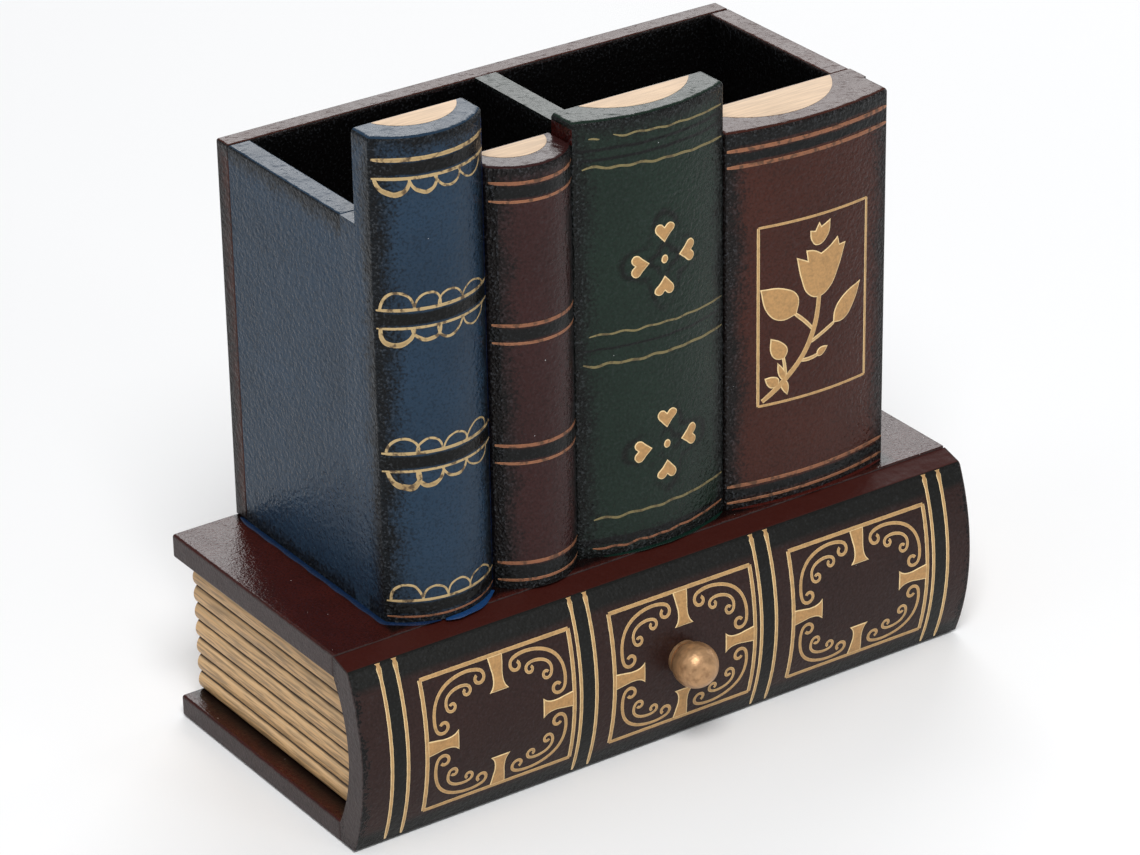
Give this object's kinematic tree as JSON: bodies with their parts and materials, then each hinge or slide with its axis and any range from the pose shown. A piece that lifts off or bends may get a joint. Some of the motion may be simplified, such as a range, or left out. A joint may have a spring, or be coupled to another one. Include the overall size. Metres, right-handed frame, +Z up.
{
  "type": "brush and pen holder",
  "caption": "Painted wooden desk holder for brushes and pens: an open box with two wells behind book spines, standing on a lying book with a sliding bow-fronted drawer and ball knob.",
  "frame": {"origin": "centre of the bottom cover's underside, on the table", "axes": "+X along the lying book from the blue spine's end to the brown spine's end, +Y to the back (the drawer opens towards -Y), +Z up"},
  "size_m": [0.19, 0.1004, 0.1826],
  "materials": {
    "cover_lacquer": "glossy dark red-brown lacquer on wood",
    "page_gold_paint": "satin gold-tan paint on ribbed wood",
    "blue_lacquer": "semi-gloss blue lacquer with dark airbrushed edges",
    "maroon_lacquer": "semi-gloss maroon lacquer with dark airbrushed edges",
    "green_lacquer": "semi-gloss dark green lacquer with dark airbrushed edges",
    "brown_lacquer": "semi-gloss red-brown lacquer with dark airbrushed edges",
    "drawer_front_lacquer": "satin brown-maroon lacquer with green-black bands",
    "black_paint": "matt black paint on wood",
    "gold_paint": "brushed gold paint",
    "copper_paint": "brushed copper paint",
    "bare_wood": "pale wood-coloured paint, satin",
    "brad_steel": "plain steel wire",
    "screw_steel": "zinc-plated steel"
  },
  "bodies": {
    "case": {"bottom_cover": "cover_lacquer", "top_cover": "cover_lacquer", "left_page_block": "page_gold_paint", "right_page_block": "page_gold_paint", "back_page_block": "page_gold_paint", "left_wall": "blue_lacquer", "right_wall": "brown_lacquer", "back_wall": "brown_lacquer", "front_board": "black_paint", "divider": "green_lacquer", "well_floor": "black_paint", "blue_spine_block": "blue_lacquer", "maroon_spine_block": "maroon_lacquer", "green_spine_block": "green_lacquer", "brown_spine_block": "brown_lacquer", "cover_brads": "brad_steel", "box_brads": "brad_steel"},
    "drawer": {"drawer_front": "drawer_front_lacquer", "drawer_left_side": "black_paint", "drawer_right_side": "black_paint", "drawer_back": "black_paint", "drawer_bottom": "black_paint", "drawer_knob": "gold_paint", "knob_screw": "screw_steel", "drawer_brads": "brad_steel"}
  },
  "joints": [
    {"name": "drawer_slide", "type": "slide", "parent": "case", "child": "drawer", "axis": [0, -1, 0], "range_m": [0, 0.05]}
  ]
}
